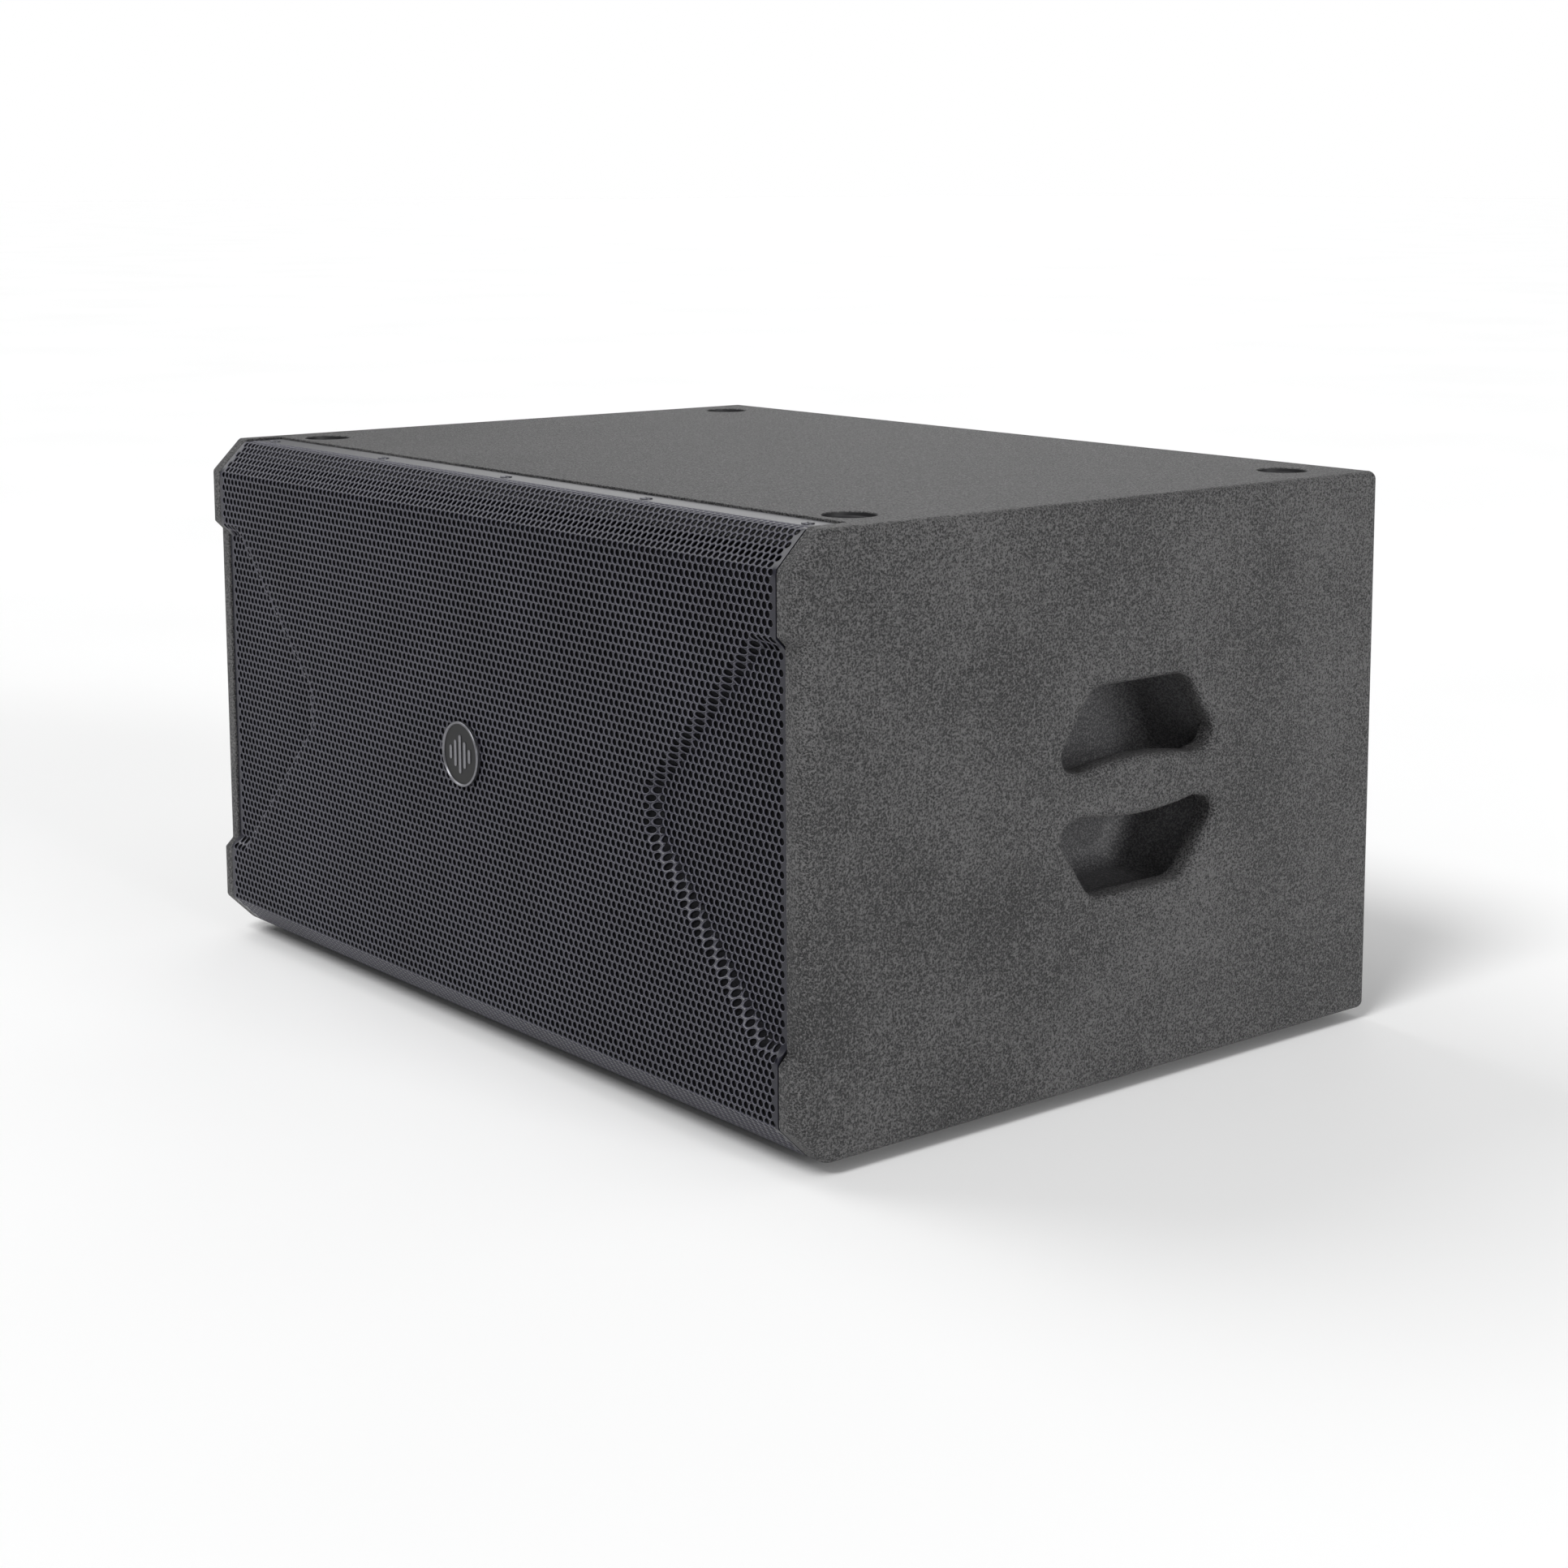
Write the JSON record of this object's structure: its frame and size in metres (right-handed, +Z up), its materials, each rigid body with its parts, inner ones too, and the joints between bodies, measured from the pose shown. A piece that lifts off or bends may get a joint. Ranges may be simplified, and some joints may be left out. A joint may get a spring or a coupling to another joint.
{
  "type": "subwoofer cabinet",
  "caption": "Powered bass loudspeaker: coated wooden box with a wrap-round perforated grille, side hand holes, stacking recesses, rubber feet and a rear amplifier plate.",
  "frame": {"origin": "on the floor under the middle of the cabinet, at the underside of the rubber feet", "axes": "+X to the right of somebody facing the grille, +Y from the grille to the rear, +Z up"},
  "size_m": [0.75, 0.535, 0.403],
  "materials": {
    "coated_wood": "black textured coating",
    "bare_wood": "birch plywood",
    "black_steel": "satin powder coat",
    "zinc_steel": "zinc plated",
    "ferrite": "matte",
    "paper": "matte pulp",
    "black_cloth": "doped cloth",
    "spider_cloth": "resin cloth",
    "copper": "enamelled winding",
    "foam": "open-cell foam",
    "rubber": "matte",
    "aluminium": "black anodised",
    "black_plastic": "satin moulded",
    "board_green": "solder mask",
    "nickel": "nickel plated"
  },
  "bodies": {
    "cabinet": {"amp_board": "board_green", "amp_plate": "aluminium", "back_plate_left": "zinc_steel", "back_plate_right": "zinc_steel", "badge": "black_plastic", "baffle": "bare_wood", "basket_left": "black_steel", "basket_right": "black_steel", "bottom_panel": "coated_wood", "centre_brace": "bare_wood", "foot_front_left": "rubber", "foot_front_right": "rubber", "foot_rear_left": "rubber", "foot_rear_right": "rubber", "grille": "black_steel", "grille_foam": "foam", "grille_screw_bottom_1": "nickel", "grille_screw_bottom_2": "nickel", "grille_screw_bottom_3": "nickel", "grille_screw_bottom_4": "nickel", "grille_screw_bottom_5": "nickel", "grille_screw_top_1": "nickel", "grille_screw_top_2": "nickel", "grille_screw_top_3": "nickel", "grille_screw_top_4": "nickel", "grille_screw_top_5": "nickel", "handle_cup_left": "black_plastic", "handle_cup_right": "black_plastic", "heatsink": "aluminium", "magnet_left": "ferrite", "magnet_right": "ferrite", "mains_inlet": "black_plastic", "port_lower": "black_plastic", "port_upper": "black_plastic", "rear_panel": "coated_wood", "side_panel_left": "coated_wood", "side_panel_right": "coated_wood", "spider_left": "spider_cloth", "spider_right": "spider_cloth", "surround_left": "black_cloth", "surround_right": "black_cloth", "top_panel": "coated_wood", "top_plate_left": "zinc_steel", "top_plate_right": "zinc_steel", "xlr_input_a": "black_plastic", "xlr_input_b": "black_plastic", "xlr_output_a": "black_plastic", "xlr_output_b": "black_plastic"},
    "cone_left": {"cone_left": "paper", "dust_cap_left": "paper", "voice_coil_left": "copper"},
    "cone_right": {"cone_right": "paper", "dust_cap_right": "paper", "voice_coil_right": "copper"},
    "level_knob": {"level_knob": "black_plastic"},
    "crossover_knob": {"crossover_knob": "black_plastic"},
    "polarity_button": {"polarity_button": "black_plastic"},
    "power_rocker": {"power_rocker": "black_plastic"},
    "latch_tab_a": {"latch_tab_a": "nickel"},
    "latch_tab_b": {"latch_tab_b": "nickel"}
  },
  "joints": [
    {"name": "cone_travel_left", "type": "slide", "parent": "cabinet", "child": "cone_left", "axis": [0, -1, 0], "range_m": [-0.008, 0.008], "stiffness_N_per_m": 6000, "deforming": ["surround_left", "spider_left"]},
    {"name": "cone_travel_right", "type": "slide", "parent": "cabinet", "child": "cone_right", "axis": [0, -1, 0], "range_m": [-0.008, 0.008], "stiffness_N_per_m": 6000, "deforming": ["surround_right", "spider_right"]},
    {"name": "level_knob_turn", "type": "hinge", "parent": "cabinet", "child": "level_knob", "pos_m": [0.048, 0.2488, 0.2055], "axis": [0, 1, 0], "range_deg": [-150, 150]},
    {"name": "crossover_knob_turn", "type": "hinge", "parent": "cabinet", "child": "crossover_knob", "pos_m": [0.112, 0.2488, 0.2055], "axis": [0, 1, 0], "range_deg": [-150, 150]},
    {"name": "polarity_button_press", "type": "slide", "parent": "cabinet", "child": "polarity_button", "axis": [0, -1, 0], "range_m": [0, 0.003], "stiffness_N_per_m": 300},
    {"name": "power_rocker_tilt", "type": "hinge", "parent": "cabinet", "child": "power_rocker", "pos_m": [0.048, 0.2478, 0.1205], "axis": [1, 0, 0], "range_deg": [-20, 0]},
    {"name": "latch_tab_a_press", "type": "slide", "parent": "cabinet", "child": "latch_tab_a", "axis": [0, -1, 0], "range_m": [0, 0.0015], "stiffness_N_per_m": 400},
    {"name": "latch_tab_b_press", "type": "slide", "parent": "cabinet", "child": "latch_tab_b", "axis": [0, -1, 0], "range_m": [0, 0.0015], "stiffness_N_per_m": 400}
  ]
}
